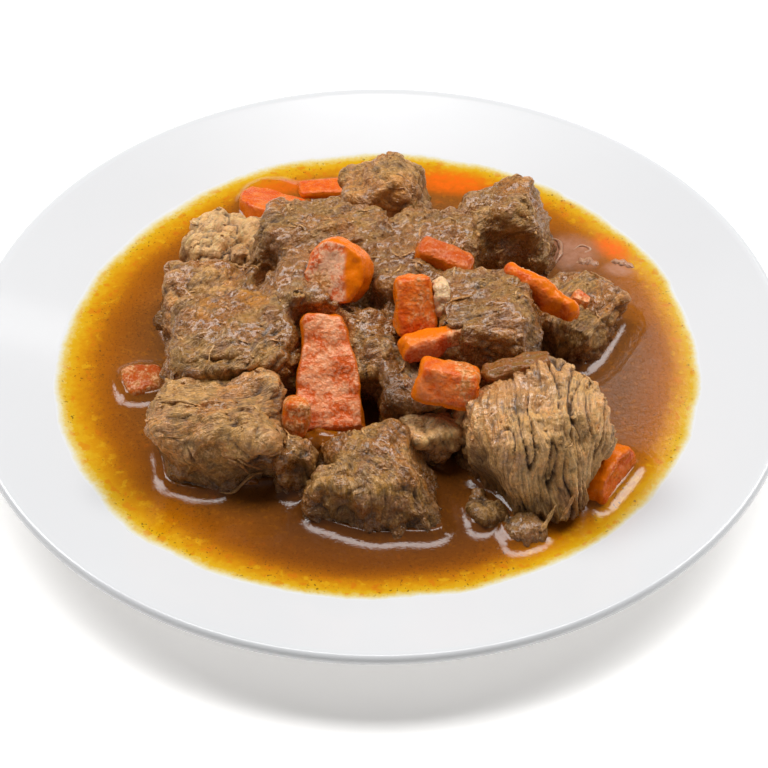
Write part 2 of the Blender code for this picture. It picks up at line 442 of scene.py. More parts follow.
def makeMeatMaterial():
    look = meatFinish
    constants = {"IOR": 1.5, "Specular IOR Level": 0.6, "Coat IOR": 1.55, "Coat Roughness": 0.12}
    material, shader, tree = newMaterial("braised beef", constants)
    grain = tree.grain()
    at = tree.position()
    hollow = tree.attribute("hollow")
    wet = tree.attribute("wet")
    strands = grain.stretch((0.06, 0.7, 0.16)).noise(1.0, 5.0, 0.65)
    threads = grain.stretch((0.25, 2.2, 0.8)).noise(1.0, 3.0, 0.65)
    grit = at.noise(1300.0, 1.0, 0.5)
    crumbs = at.noise(620.0, 2.0, 0.6, 0.3)
    mottle = at.noise(260.0, 4.0, 0.7, 0.6)
    clouds = at.noise(90.0, 3.0, 0.6)
    broad = at.noise(42.0, 2.0, 0.5)
    base = mottle.step(0.36, 0.62).mix(look["olive"], look["tan"])
    fatty = (clouds + (crumbs - 0.5) * 0.5 + (broad - 0.5) * 0.8).step(0.46, 0.64)
    base = fatty.mix(base, look["ochre"])
    base = (strands.step(0.52, 0.36) * 0.7).mix(base, look["brown"])
    base = (threads.step(0.50, 0.70) * 0.6).mix(base, look["pale"])
    glaze = (wet + (clouds - 0.5) * 2.6 + (mottle - 0.5) * 1.4).step(0.25, 0.85)
    base = (glaze * 0.65).mix(base, look["gravy"])
    base = (at.noise(150.0, 3.0, 0.6).step(0.54, 0.64) * 0.5).mix(base, look["mauve"])
    # painted shade in the pits of the crumb relief, paler on its tops, and fine pale specks that are painted
    # glints
    base = (crumbs.step(0.44, 0.32) * 0.45).mix(base, look["dark"])
    base = (crumbs.step(0.54, 0.70) * 0.35).mix(base, look["pale"])
    base = (grit.step(0.58, 0.70) * 0.35).mix(base, look["pale"])
    warm = tree.attribute("warm") + (mottle - 0.5) * 1.2
    base = (warm.step(0.1, 0.8) * 0.8).mix(base, look["warm"])
    # painted light over the upper parts, partly the paler tone of some pieces
    light = (tree.attribute("light") + (mottle - 0.5) * 0.4).atLeast(0.0)
    # painted shade towards the sauce and in the chinks
    shade = (tree.attribute("shade") + (mottle - 0.5) * 0.4).atLeast(0.0).atMost(1.0)
    base = base.stretch(light * 0.8 + 1)
    base = base.node("VectorMath", {"operation": "MINIMUM"}, {0: base, 1: look["most"]})
    base = (light * 0.5).mix(base, look["light"])
    base = shade.mix(base, look["dark"])
    # painted shade in the hollows between the strands and in the cracks
    base = (hollow * 0.9).mix(base, look["creviceShade"])
    sparkle = at.noise(760.0, 1.0, 0.4)
    height = crumbs * 0.6 + mottle * 0.7 + threads * 0.8 + sparkle * (glaze * 0.5 + 0.12)
    feed(shader, {
        "Base Color": base,
        "Roughness": 0.46 - glaze * 0.2 + (grit - 0.5) * 0.3,
        "Coat Weight": (glaze * 0.5 + 0.08) * (1 - shade * 0.7),
        "Normal": height.bump(0.0011, 1.0),
    })
    return material


carrotFinish = {
    "orange": (0.78, 0.150, 0.003),
    "deep": (0.68, 0.085, 0.002),
    "skin": (0.86, 0.190, 0.001),
    # a painted pale sheen of wetness on the cut faces
    "film": (0.91, 0.49, 0.29),
    "dim": (0.34, 0.060, 0.001),
    "gravy": (0.45, 0.17, 0.04),
    "mash": (0.85, 0.46, 0.22),
}


def makeCarrotMaterial():
    look = carrotFinish
    constants = {
        "IOR": 1.38,
        "Specular Tint": colour(1.0, 0.75, 0.5),
        "Subsurface Weight": 0.12,
        "Subsurface Radius": (1.0, 0.35, 0.1),
        "Subsurface Scale": 0.0012,
        "Coat IOR": 1.55,
        "Coat Roughness": 0.14,
    }
    material, shader, tree = newMaterial("stewed carrot", constants)
    at = tree.position()
    face = tree.attribute("face")
    wet = tree.attribute("wet")
    grit = at.noise(1300.0, 1.0, 0.5)
    streaks = at.stretch((1.5, 1.0, 0.6)).noise(700.0, 2.0, 0.6)
    clouds = at.noise(170.0, 3.0, 0.6)
    base = clouds.step(0.38, 0.6).mix(look["deep"], look["orange"])
    base = ((1 - face) * 0.85).mix(base, look["skin"])
    base = tree.attribute("dim").mix(base, look["dim"])
    fine = at.noise(900.0, 1.0, 0.5)
    # a painted pale sheen of wetness, in flecks and clouds over the cut face
    sheenFlecks = (fine + (streaks - 0.5) * 0.8).step(0.42, 0.66)
    film = (sheenFlecks * 0.45 + clouds.step(0.40, 0.62) * 0.5 + 0.05) * face
    base = (film * tree.attribute("film")).mix(base, look["film"])
    glaze = (wet + (clouds - 0.5) * 1.8 + (streaks - 0.5) * 1.0).step(0.5, 1.0)
    mashed = fine.step(0.4, 0.6).mix(look["gravy"], look["mash"])
    base = (glaze * 0.9).mix(base, mashed)
    feed(shader, {
        "Base Color": base,
        "Roughness": 0.26 + (grit - 0.5) * 0.3,
        "Coat Weight": face * 0.08,
        "Normal": (fine * (0.3 + face * 0.7) + clouds * 0.6).bump(0.0004, 1.0),
    })
    return material


onionFinish = {
    "glazed": (0.30, 0.10, 0.012),
    "pale": (0.90, 0.60, 0.32),
    "olive": (0.26, 0.12, 0.016),
    "pink": (0.56, 0.29, 0.17),
}


def makeOnionMaterial():
    look = onionFinish
    constants = {
        "IOR": 1.4,
        "Subsurface Weight": 0.3,
        "Subsurface Radius": (1.0, 0.5, 0.2),
        "Subsurface Scale": 0.002,
        "Coat Weight": 0.4,
        "Coat Roughness": 0.12,
    }
    material, shader, tree = newMaterial("stewed onion", constants)
    at = tree.position()
    grain = tree.grain()
    pale = tree.attribute("pale")
    streaks = grain.stretch((0.12, 1.0, 1.0)).noise(1.0, 3.0, 0.5)
    grit = at.noise(900.0, 2.0, 0.6)
    mottle = at.noise(330.0, 4.0, 0.7)
    share = (streaks - 0.5) * 1.2 + (mottle - 0.5) * 1.6 + pale
    base = share.step(0.1, 0.9).mix(look["glazed"], look["pale"])
    base = (mottle.step(0.52, 0.4) * (1 - pale) * 0.8).mix(base, look["olive"])
    base = tree.attribute("pink").mix(base, look["pink"])
    feed(shader, {
        "Base Color": base,
        "Roughness": grit * 0.3 + 0.2,
        "Normal": (streaks + grit * 0.9 + mottle).bump(0.0009, 0.9),
    })
    return material


materials = {
    "plate": makePlateMaterial(),
    "sauce": makeSauceMaterial(),
    "beef": makeMeatMaterial(),
    "carrot": makeCarrotMaterial(),
    "onion": makeOnionMaterial(),
}
print("materials made")


def turnProfile(name, profile, steps):
    # a closed turned solid; the profile's first and last points are on the axis
    angles = np.arange(steps) * (2 * math.pi / steps)
    rings = profile[1:-1]
    points = [(0, 0, profile[0][1])]
    for radius, height in rings:
        points += [(radius * math.cos(a), radius * math.sin(a), height) for a in angles]
    points.append((0, 0, profile[-1][1]))
    last = len(points) - 1
    faces = [(0, 1 + j, 1 + (j + 1) % steps) for j in range(steps)]
    for i in range(len(rings) - 1):
        a, b = 1 + i * steps, 1 + (i + 1) * steps
        faces += [(a + j, b + j, b + (j + 1) % steps, a + (j + 1) % steps) for j in range(steps)]
    a = 1 + (len(rings) - 1) * steps
    faces += [(a + j, last, a + (j + 1) % steps) for j in range(steps)]
    return meshObject(name, points, faces)


def makePlate():
    lip = plate["wall"] / 2  # the lip is a half round
    edge = plate["radius"] - lip
    profile = [(0, plate["floor"])]
    profile += [(r, float(plateHeight(np.float64(r)))) for r in (35, 60)]
    profile += [(r, float(plateHeight(r))) for r in np.linspace(67, edge, 40)]
    centre = float(plateHeight(edge)) - lip
    for angle in range(75, -90, -15):
        turn = math.radians(angle)
        profile.append((edge + lip * math.cos(turn), centre + lip * math.sin(turn)))
    foot, inner, rise = plate["footOuter"], plate["footInner"], plate["footRise"]
    flare = foot + plate["footFlare"] + 0.8
    profile += [(r, float(plateHeight(r)) - plate["wall"]) for r in np.linspace(edge, flare, 24)]
    profile += [(foot + 0.6, 1.6), (foot + 0.25, 0.5), (foot - 0.3, 0.0)]  # the foot ring, its edges rounded
    profile += [(inner + 0.3, 0.0), (inner - 0.25, 0.5), (inner - 1.2, 2.1), (inner - 2.4, rise)]
    profile += [(30, rise), (0, rise)]
    return turnProfile("servingPlate", profile, plate["steps"])


place(makePlate(), "plate", "plate")
print("plate made")


# grain is the way that the fibres run; over is the middle of the arc that they comb down, instead of it
# fibre, crack, lump, lobe and ledge scale the relief
# wide is how thick the strands are, and bend how far they wander
# voxel is the mesh's step in millimetres, soft how far it is smoothed, and swell how far it then grows
# under is how much the piece draws in towards the sauce, and each stroke pushes one place
# wet is how much gravy clings; light makes the upper part paler, partly as the meat's own tone and partly as
# painted light, and shade is painted shade towards the sauce
meatLooks = {
    "front_left": dict(
        grain=(0.93, 0.2, 0.3), fibre=0.7, crack=0.9, wet=0.35, voxel=0.56,
        soft=10, swell=1.1, light=0.34, lobe=0.6, under=-0.03,
        strokes=[
            ((-77, -60, 17), 11, (6, 9, 0)),
            ((-64, -56, 12), 8, (-2, -3, 0)),
            ((-52, -62, 12), 9, (0, -4, 0)),
            ((-42, -71, 18), 9, (2, 4, 0)),
            ((-46, -70, 25), 7, (0, 4, 0)),
            ((-38, -64, 34), 5, (0, -2, 0)),
            ((-70, -38, 40), 9, (2, -1, -2)),
            ((-54, -36, 43), 11, (0, -3, -4)),
            ((-40, -40, 42), 9, (-1, -2, -3)),
            ((-30, -50, 38), 7, (-4, 0, -1)),
        ],
    ),
    "front": dict(
        grain=(0.1, -0.5, -0.86), fibre=0.6, crack=0.7, wet=0.45, voxel=0.55,
        soft=20, swell=1.3, shade=0.5, under=0.04,
        strokes=[
            ((-21, -57, 30), 9, (5, -3, -5)),
            ((4, -55, 32), 8, (0, 2, 3)),
            ((18, -58, 27), 8, (-4, 0, -4)),
            ((14, -80, 17), 9, (6, -3, 0)),
            ((-4, -84, 15), 9, (0, -3, 0)),
        ],
    ),
    "front_right": dict(
        over=(53, -45, 16), fibre=0.85, crack=1.2, wet=0.2, voxel=0.5, soft=50, swell=2.0,
        light=0.7, shade=0.45, bend=2.0, ledge=0.4, lobe=0.25, wide=0.8, under=0.04,
        strokes=[
            ((28, -72, 19), 10, (6, 5, 0)),
            ((54, -80, 16), 10, (2, -5, 0)),
            ((76, -60, 25), 9, (-4, 0, 0)),
            ((60, -74, 20), 10, (3, -4, -1)),
            ((48, -47, 47), 4, (0, 0.8, -3)),
            ((48.7, -56, 47), 4, (0, 1.2, -3.5)),
            ((49, -64, 45), 4, (0, 2.4, -3)),
            ((50.5, -69.5, 39), 4, (0, 3.6, -1)),
            ((52, -71, 33), 4, (0, 3, 0)),
        ],
    ),
    "sinew": dict(grain=(0, -0.3, -0.95), fibre=0.8, crack=0.6, wet=0.6, voxel=0.6),
    "scrap_left": dict(
        grain=(0.3, -0.4, -0.85), fibre=0.8, crack=0.6, wet=0.3, voxel=0.5,
        soft=14, swell=1.4, light=0.6, lobe=0.2, lump=0.6, under=0.0,
    ),
    "scrap_right": dict(
        grain=(-0.2, -0.5, -0.85), fibre=0.5, crack=0.6, wet=0.3, voxel=0.5,
        soft=14, swell=1.4, light=0.6, lobe=0.2, lump=0.6, under=0.0,
    ),
    "notch": dict(grain=(0.3, -0.4, -0.85), fibre=0.9, crack=0.8, wet=0.45, voxel=0.65, light=1.0, shade=0.0),
    "middle": dict(grain=(0.1, -0.4, -0.9), fibre=1.0, crack=0.8, wet=0.5, voxel=0.7, shade=0.9),
    "left": dict(
        grain=(0.7, 0.55, 0.35), fibre=0.7, crack=0.7, wet=0.45, voxel=0.7,
        strokes=[((-56, -26, 40), 9, (0, -5, -1)), ((-42, -26, 40), 9, (0, -5, -1))],
    ),
    "right": dict(grain=(0.6, 0.7, 0.1), fibre=0.8, crack=0.7, wet=0.4, voxel=0.7),
    "centre_right": dict(grain=(0.98, 0.05, 0.15), fibre=0.9, crack=0.9, wet=0.55, voxel=0.7),
    "column": dict(grain=(0.1, -0.55, -0.83), fibre=1.1, crack=1.0, wet=0.35, voxel=0.65),
    "centre": dict(grain=(0.6, 0.3, 0.7), fibre=0.6, crack=0.5, wet=0.7, voxel=0.75),
    "centre_left": dict(grain=(0.3, 0.6, 0.7), fibre=0.6, crack=0.6, wet=0.7, voxel=0.75),
    "rear_left": dict(grain=(0.85, 0.3, 0.2), fibre=0.8, crack=0.8, wet=0.4, voxel=0.75),
    "rear_right": dict(
        grain=(0.5, -0.4, -0.75), fibre=0.8, crack=0.8, wet=0.4, voxel=0.7, light=0.2,
        strokes=[
            ((34, 56, 42), 9, (0, -1, -5)),
            ((50, 58, 43), 7, (2, 0, 3)),
            ((44, 38, 30), 7, (0, 4, -1)),
            ((61, 54, 28), 10, (-6, 0, 0)),
            ((59, 42, 20), 8, (-4, 0, 0)),
            ((50, 57, 47), 7, (0, -1, -3.5)),
        ],
    ),
    "rear": dict(
        grain=(0.7, -0.3, -0.65), fibre=0.6, crack=0.2, wet=0.35, voxel=0.7, light=0.2,
        strokes=[((12, 66, 38), 7, (3, 0, 2))],
    ),
    "rear_low": dict(grain=(0.8, 0.3, 0.4), fibre=0.6, crack=0.5, wet=0.55, voxel=0.85),
    "knuckle": dict(
        grain=(0.4, 0.5, 0.75), fibre=0.5, crack=0.8, wet=0.0, voxel=0.7,
        lump=1.5, lobe=1.5, light=1.2,
    ),
    "far_left": dict(
        grain=(0.5, 0.5, 0.6), fibre=0.6, crack=0.8, wet=0.3, voxel=0.75,
        lump=1.3, lobe=1.3, light=0.3,
    ),
}


def grainAxes(direction):
    along = Vector(direction).normalized()
    side = along.cross(Vector((0.3, 0.2, 1.0))).normalized()
    return np.array([along, side, along.cross(side)])


def combed(points, centre):
    # grain that runs over the top of a piece and down its front, drawing together as it goes
    off = points - centre
    turn = np.arctan2(-off[:, 1], off[:, 2])
    radius, gather = 26, 0.22
    across = off[:, 0] * (1 + gather * turn)
    return np.column_stack([turn * radius, across, np.hypot(off[:, 1], off[:, 2])])


def fleshRelief(points, seed, look):
    # how far each point moves out, the hollows between the strands, and the grain that these lie along
    bend = noiseVector(points / 15, seed + 1) * look.get("bend", 2.6)
    bend = bend + noiseVector(points / 5, seed + 8) * 0.45
    grain = combed(points, look["over"]) if "over" in look else points @ grainAxes(look["grain"]).T
    grain = grain + bend
    wide, lobed = look.get("wide", 1.0), look.get("lobe", 0.8)
    lump = noise(points / 13, seed + 2) * 2.1 + noise(points / 6, seed + 3) * 1.1
    strand = np.abs(noise(grain / (15, 2.1 * wide, 7), seed + 5))  # coarse fibres
    thread = np.abs(noise(grain / (7, 1.1 * wide, 3.2), seed + 6))  # fine fibres
    ledge = step(-0.03, 0.05, noise(grain / (17, 6, 8), seed + 11))  # steps where a sheet has come away
    ledge += 0.6 * step(0.08, 0.14, noise(grain / (10, 4, 5), seed + 12))
    crumb = noise(points / 1.5, seed + 9) * 0.24 + noise(points / 2.8, seed + 13) * 0.36
    lobe = np.abs(noise(points / 6.5 + noiseVector(points / 9, seed + 14) * 0.35, seed + 15))
    apart = step(-0.15, 0.3, noise(points / 11, seed + 7))  # where the cracks gape
    crack = step(0.10, 0.0, np.abs(noise(grain / (26, 4.6, 13), seed + 4))) * (0.3 + 0.7 * apart)
    relief = lump * look.get("lump", 1.0) + ledge * look.get("ledge", 0.8) - 0.6 + crumb
    relief += look["fibre"] * (0.8 * np.minimum(strand, 0.42) / 0.42 - 0.5 + 0.5 * (thread - 0.25))
    relief -= look["crack"] * 1.7 * crack
    relief += lobed * 2.2 * (np.sqrt(np.minimum(lobe, 0.4)) - 0.4)
    hollow = step(0.13, 0.0, strand) * 0.6 * look["fibre"] + crack * look["crack"]
    hollow += step(-0.25, -0.5, crumb / 0.6) * 0.4 + step(0.07, 0.0, lobe) * 0.6 * lobed
    return relief, np.clip(hollow, 0, 1), grain


def wetness(points, wet):
    # gravy clings near the pool and over the middle of the heap
    x, y, z = points.T
    low = step(24, 14, z)
    middle = step(52, 18, np.hypot(x - 4, y - 6)) * step(30, 42, z)
    front = step(24, 12, np.hypot(x - 38, y + 38)) * step(32, 40, z)
    return np.clip(wet + 0.45 * low + 0.25 * middle + 0.7 * front, 0, 1.2)


# painted shade in the deep chinks of the heap, and a little darkening over the middle of its top: middle,
# reach and depth of tone
chinks = [
    ((3, -38, 33), 9, 0.8),
    ((17, -30, 34), 7, 0.5),
    ((-31, -42, 30), 8, 0.6),
    ((52, -19, 32), 9, 0.8),
    ((33, -62, 26), 9, 0.7),
    ((-39, -62, 22), 6, 0.8),
    ((2, 8, 46), 16, 0.18),
    ((26, -16, 44), 12, 0.12),
]
# orange fat held on the meat: middle, reach and how much
patches = [
    ((-40, -3, 42), 5, 1.2),
    ((-55.5, -5, 43), 3.5, 0.9),
    ((-57, -11, 43), 3, 0.9),
    ((6.5, 54, 42), 4.5, 0.8),
]


def closeTo(points, at, reach):
    # 1 at a place, dying away over its reach
    return np.exp(-(np.linalg.norm(points - at, axis=1) / reach) ** 2)


def spots(points, places):
    value = np.zeros(len(points))
    for at, reach, most in places:
        value = np.maximum(value, most * closeTo(points, at, reach))
    return value


def shadow(points, low):
    # painted shade: darker towards the sauce and in the chinks, and a little darker over the middle of the
    # heap's top
    return np.maximum(low * step(30, 15, points[:, 2]), spots(points, chinks))


def sculpt(points, strokes):
    # each stroke moves the surface round one place: middle, reach and push
    for at, reach, push in strokes:
        points = points + closeTo(points, at, reach)[:, None] * np.array(push)
    return points


def undercut(points, share):
    # the pieces draw in a little towards the sauce
    middle = (points.min(0) + points.max(0))[:2] / 2
    share = 1 - share * step(25, 15, points[:, 2])
    points[:, :2] = middle + (points[:, :2] - middle) * share[:, None]
    return points


def keepInside(points):
    # under the top of the CAD part, and over the plate
    points[:, 2] = np.minimum(points[:, 2], cadHigh.z / mm - 0.15)
    floor = plateHeight(np.hypot(points[:, 0], points[:, 1])) + 0.3
    points[:, 2] = np.maximum(points[:, 2], floor)
    return points


wetShapes = []  # the smooth shape of each piece, which the sauce climbs


def makeMeat():
    made = []
    for seed, (name, look) in enumerate(meatLooks.items()):
        node = "beef_" + name
        smooth = int(look.get("soft", 9) / look["voxel"] ** 2)  # the same reach on any mesh
        piece = dense("meat_" + name, [node], look["voxel"], smooth)
        mesh = piece.data
        points, normals = readPoints(mesh), readNormals(mesh)
        strokes, under = look.get("strokes", []), look.get("under", 0.10)
        wetShapes.append((undercut(sculpt(points + normals * 0.6, strokes), under), mesh))
        relief, hollow, grain = fleshRelief(points, seed * 1.7, look)
        points = points + normals * (relief + look.get("swell", 0.7))[:, None]
        points = keepInside(undercut(sculpt(points, strokes), under))
        writePoints(mesh, points)
        store(
            mesh,
            grain=grain,
            hollow=hollow,
            wet=wetness(points, look["wet"]),
            # painted light on the upper part, partly a paler tone, and painted shade towards the sauce and in
            # the chinks
            light=look.get("light", 0.0) * step(15, 30, points[:, 2]),
            shade=shadow(points, look.get("shade", 0.35)),
            warm=spots(points, patches),
        )
        made.append(place(piece, "beef", node))
    return made


coat = {
    "over": [
        "left", "far_left", "centre_left", "centre", "centre_right", "rear_left", "rear_low",
        "column", "middle", "rear_right",
    ],
    "voxel": 0.95,
    "smooth": 8,
    "grow": 3.6,
    "shrink": 3.7,
    "wet": 0.65,
    "shade": 0.3,
    "flesh": dict(grain=(0.8, 0.4, 0.3), fibre=0.5, crack=0.3),
    "strokes": [
        ((-39, 17, 27), 8, (0, -2, 11)),
        ((-34, 8, 34), 6, (0, 0, 5)),
        ((-26.5, -5, 44.5), 4, (0, -0.8, 1.8)),
    ],
}


def makeCoat():
    # the gravy and shreds that bridge the chinks between the pieces in the middle
    nodes = ["beef_" + name for name in coat["over"]]
    piece = dense("gravyCoat", nodes, coat["voxel"], coat["smooth"], coat["grow"], coat["shrink"])
    mesh = piece.data
    points, normals = readPoints(mesh), readNormals(mesh)
    relief, hollow, grain = fleshRelief(points, 71.0, coat["flesh"])
    grains = np.abs(noise(points / 2.4, 73.0)) * 1.2 + noise(points / 8, 74.0) * 2.2
    points = sculpt(points + normals * (relief * 0.7 + grains + 0.5)[:, None], coat["strokes"])
    points = keepInside(points)
    writePoints(mesh, points)
    store(
        mesh,
        grain=grain,
        hollow=hollow * 0.6,
        wet=wetness(points, coat["wet"]),
        light=0.0,
        # painted shade towards the sauce and in the chinks
        shade=shadow(points, coat["shade"]),
        warm=spots(points, patches),
    )
    return place(piece, "beef")


food = makeMeat()
food.append(makeCoat())
print("meat made,", sum(len(o.data.polygons) for o in food), "faces")


# facing is the way that a slice's cut face looks, and rim and ends say where the skin starts
# wet is how much gravy clings, film how much pale sheen of wetness is painted on the cut face, and dim how
# dark it is; rough scales the relief
carrotLooks = {
    "long": dict(
        facing=(0, -0.55, 0.84), wet=0.05, film=0.75, dim=0.2,
        strokes=[
            ((-29, 5, 47), 8, (5, -1, -0.5)),
            ((-9, 4, 47), 9, (-8, -1, -0.5)),
            ((-10, -8, 42), 8, (-2, 0, 0)),
        ],
    ),
    "round": dict(facing=(-0.35, -0.7, 0.62), wet=-0.3, film=1.6, rim=(0.82, 0.93), ends=-11.3),
    "back": dict(facing=(0, -0.1, 1), wet=0.1, dim=0.4, soft=30),
    "middle": dict(facing=(0, -0.57, 0.82), wet=0.35, soft=30),
    "strip": dict(
        facing=(-0.6, -0.5, 0.6), wet=0.1,
        strokes=[
            ((48, 4, 46), 8, (-5.5, 0, 4)),
            ((52, 0, 45), 6, (0, 0, 2)),
            ((62, -9, 39), 7, (0, 3, 2)),
        ],
    ),
    "bar": dict(facing=(0.2, -0.9, 0.3), wet=0.1, film=0.5, soft=24, swell=0.8),
    "wedge": dict(facing=(0.1, -0.5, 0.86), wet=0.1, film=0.25, soft=30, swell=0.7),
    "stub": dict(facing=(0, -0.5, 0.86), wet=0.9, dim=0.35, soft=30),
    "left": dict(facing=(0, 0, 1), wet=0.55, dim=0.6, soft=50),
    "right": dict(facing=(0.83, -0.55, 0.1), wet=0.2),
    "flake": dict(facing=(0, 0, 1), wet=0.9, swell=-0.6, dim=0.1),
    "rear_left": dict(
        facing=(0, -0.3, 0.95), wet=0.15, soft=50, rough=0.3,
        strokes=[((-44, 62, 16), 7, (0, -2, 1)), ((-36, 66, 17), 7, (1, 0, 0.8))],
    ),
    "rear_middle": dict(facing=(0, 0, 1), wet=0.15, soft=24, rough=0.4),
}
onionLooks = {
    "strip": dict(grain=(0.95, 0.2, 0.1), pale=0.0),
    "curl": dict(grain=(0.1, -0.5, 0.85), pale=0.8, strokes=[((18.5, -10, 46), 8, (0, -1.8, 1.4))]),
}
# where mashed onion and gravy lie over the carrots: middle, reach and how much
mash = [
    ((11, -4, 40), 8, 1.6),
    ((33, -14, 40), 7, 1.6),
    ((31, -27, 37), 6, 1.6),
    ((-10, 20, 40), 6, 1.6),
    ((-26, -34, 24), 5, 1.6),
    ((-20, -2, 47), 5, 1.6),
    ((25, -22, 43), 6, 1.4),
    ((34, -42, 43), 5, 1.3),
]


def makeCarrots():
    made = []
    for seed, (name, look) in enumerate(carrotLooks.items()):
        node = "carrot_" + name
        piece = dense("carrot_slice_" + name, [node], 0.5, look.get("soft", 14))
        mesh = piece.data
        points, normals = readPoints(mesh), readNormals(mesh)
        points = sculpt(points, look.get("strokes", []))
        wetShapes.append((points + normals * 0.2, mesh))
        relief = noise(points / 7, seed + 20) * 1.0 + noise(points / 3, seed + 21) * 0.28
        relief += noise(points / 1.6, seed + 22) * 0.12
        out = relief * look.get("rough", 1.0) + look.get("swell", 0.45)
        points = keepInside(points + normals * out[:, None])
        writePoints(mesh, points)
        facing = np.abs(readNormals(mesh) @ np.array(Vector(look["facing"]).normalized()))
        ends = look.get("ends", 99) + noise(points / 4, seed) * 0.5
        store(
            mesh,
            face=step(*look.get("rim", (0.55, 0.85)), facing) * step(1, -1, points[:, 0] - ends),
            wet=np.maximum(wetness(points, look["wet"]) * 0.8, spots(points, mash)),
            dim=look.get("dim", 0.0),
            film=look.get("film", 0.12),
        )
        made.append(place(piece, "carrot", node))
    return made


def makeOnions():
    made = []
    for seed, (name, look) in enumerate(onionLooks.items()):
        node = "onion_" + name
        piece = dense("onion_piece_" + name, [node], 0.5, 12)
        mesh = piece.data
        points, normals = readPoints(mesh), readNormals(mesh)
        points = sculpt(points, look.get("strokes", []))
        grain = points @ grainAxes(look["grain"]).T
        relief = noise(points / 6, seed + 40) * 1.3 + noise(grain / (9, 2, 2), seed + 41) * 0.6
        relief += noise(points / 2.2, seed + 42) * 0.5
        points = keepInside(points + normals * (relief + 0.3)[:, None])
        writePoints(mesh, points)
        store(mesh, grain=grain, pink=0.0, pale=look["pale"])
        made.append(place(piece, "onion", node))
    return made


food += makeCarrots() + makeOnions()
print("carrots and onion made,", sum(len(o.data.polygons) for o in food), "faces in all")


# soft strands: the points they pass through, how thick they are, and how far they stand off the meat
shreds = [
    dict(path=[(-49, -66, 16.5), (-45, -67, 17), (-40, -65, 19), (-36, -61, 21)], thick=0.65, off=0.3),
    dict(path=[(-47, -66, 28), (-44, -66, 25), (-40, -64, 21)], thick=0.6, off=0.6),
    dict(path=[(-44, -66, 29), (-41, -65, 26), (-37, -62, 23)], thick=0.5, off=0.6),
    dict(path=[(48, -80, 17), (51, -81, 21), (53, -79, 26)], thick=0.8, off=0.2),
    dict(path=[(55, -79, 18), (58, -78, 23), (60, -75, 28)], thick=0.7, off=0.2),
    dict(path=[(76, 30, 33), (80, 32, 33.5), (84, 29, 32)], thick=0.5, off=0.6),
    dict(path=[(-70, -44, 38), (-62, -46, 39.5), (-54, -48, 39)], thick=0.6, off=0.2),
    dict(path=[(-29, -5.2, 46.5), (-26.5, -5.6, 46.5), (-24, -5.8, 46)], thick=1.5, off=0.3),
]
onionStrips = [
    dict(
        path=[(58.5, 43, 14.6), (61.5, 48, 14.9), (62.8, 53, 14.9), (62, 57.5, 14.6), (59, 59.5, 14.0)],
        thick=0.75,
    ),
    dict(path=[(66.5, 53, 13.8), (70, 55.5, 14.1), (73, 53.5, 14.0), (70, 51.5, 13.8)], thick=0.5),
    dict(path=[(67, 46.5, 13.4), (71.5, 47.5, 13.5), (76, 45, 13.3)], thick=2.0),
    dict(path=[(79, 47.5, 13.6), (83.5, 46.5, 13.8), (88, 43.5, 13.7)], thick=1.6),
]
# what is scattered over the heap: how many, where, and how low and how steep it may lie
fibres = {
    "count": 70,
    "wide": (-72, 80),
    "deep": (-72, 62),
    "lowest": 21,
    "steepest": 0.35,
    "length": (3.5, 8.5),
    "thick": (0.28, 0.55),
}
crumbs = {
    "count": 240,
    "wide": (-75, 82),
    "deep": (-76, 72),
    "lowest": 17,
    "steepest": 0.2,
    "size": (0.35, 0.8),
    "light": (0.1, 0.6),
}


def searchTree(shapes):
    # one tree over several shapes, for finding the nearest surface; each shape is its points and triangles
    starts = np.cumsum([0] + [len(points) for points, _ in shapes])
    triangles = [index + start for (_, index), start in zip(shapes, starts)]
    points = np.concatenate([points for points, _ in shapes])
    return BVHTree.FromPolygons(points.tolist(), np.concatenate(triangles).tolist())


def curve(path, count):
    # a smooth line through the points
    path = np.asarray(path, float)
    ends = np.vstack([2 * path[0] - path[1], path, 2 * path[-1] - path[-2]])
    line = []
    for u in np.linspace(0, len(path) - 1, count):
        i = min(int(u), len(path) - 2)
        t = u - i
        a, b, c, d = ends[i:i + 4]
        square, cube = 2 * a - 5 * b + 4 * c - d, 3 * b - a - 3 * c + d
        line.append(0.5 * (2 * b + (c - a) * t + square * t**2 + cube * t**3))
    return np.array(line)


def makeStrands(name, strips):
    # closed tapered strands in one mesh
    sides, count = 8, 18
    points, faces, along = [], [], []
    for number, strip in enumerate(strips):
        line = curve(strip["path"], count)
        start = len(points)
        for i, at in enumerate(line):
            ahead = Vector(line[min(i + 1, count - 1)] - line[max(i - 1, 0)]).normalized()
            side = ahead.cross(Vector((0.1, 0.2, 1))).normalized()
            over = side.cross(ahead)
            share = math.sin(math.pi * (i + 0.4) / (count - 0.2)) ** 0.6
            wide = strip["thick"] * share * (1 + 0.25 * math.sin(i * 1.3 + number))
            for k in range(sides):
                turn = 2 * math.pi * k / sides
                off = side * math.cos(turn) * wide + over * math.sin(turn) * wide * 0.75
                points.append(Vector(at) + off)
                along.append((i * 0.6, math.cos(turn) * wide, math.sin(turn) * wide))
        for i in range(count - 1):
            a, b = start + i * sides, start + (i + 1) * sides
            faces += [(a + k, a + (k + 1) % sides, b + (k + 1) % sides, b + k) for k in range(sides)]
        faces.append(tuple(start + k for k in reversed(range(sides))))
        faces.append(tuple(start + (count - 1) * sides + k for k in range(sides)))
    made = meshObject(name, np.array(points), faces)
    store(made.data, grain=np.array(along))
    return made


def laid(tree, strip):
    # a strip moved on to the nearest surface
    path = []
    for at in strip["path"]:
        touch, out, _, _ = tree.find_nearest(Vector(at))
        path.append(tuple(touch + out * strip["off"]))
    return dict(path=path, thick=strip["thick"])


def scattered(tree, look):
    # random places on top of the heap, and the way that the surface faces there
    made = 0
    while made < look["count"]:
        x, y = random.uniform(*look["wide"]), random.uniform(*look["deep"])
        hit, normal, _, _ = tree.ray_cast((x, y, 90), (0, 0, -1))
        if hit is not None and hit.z >= look["lowest"] and normal.z >= look["steepest"]:
            made += 1
            yield x, y, hit, normal


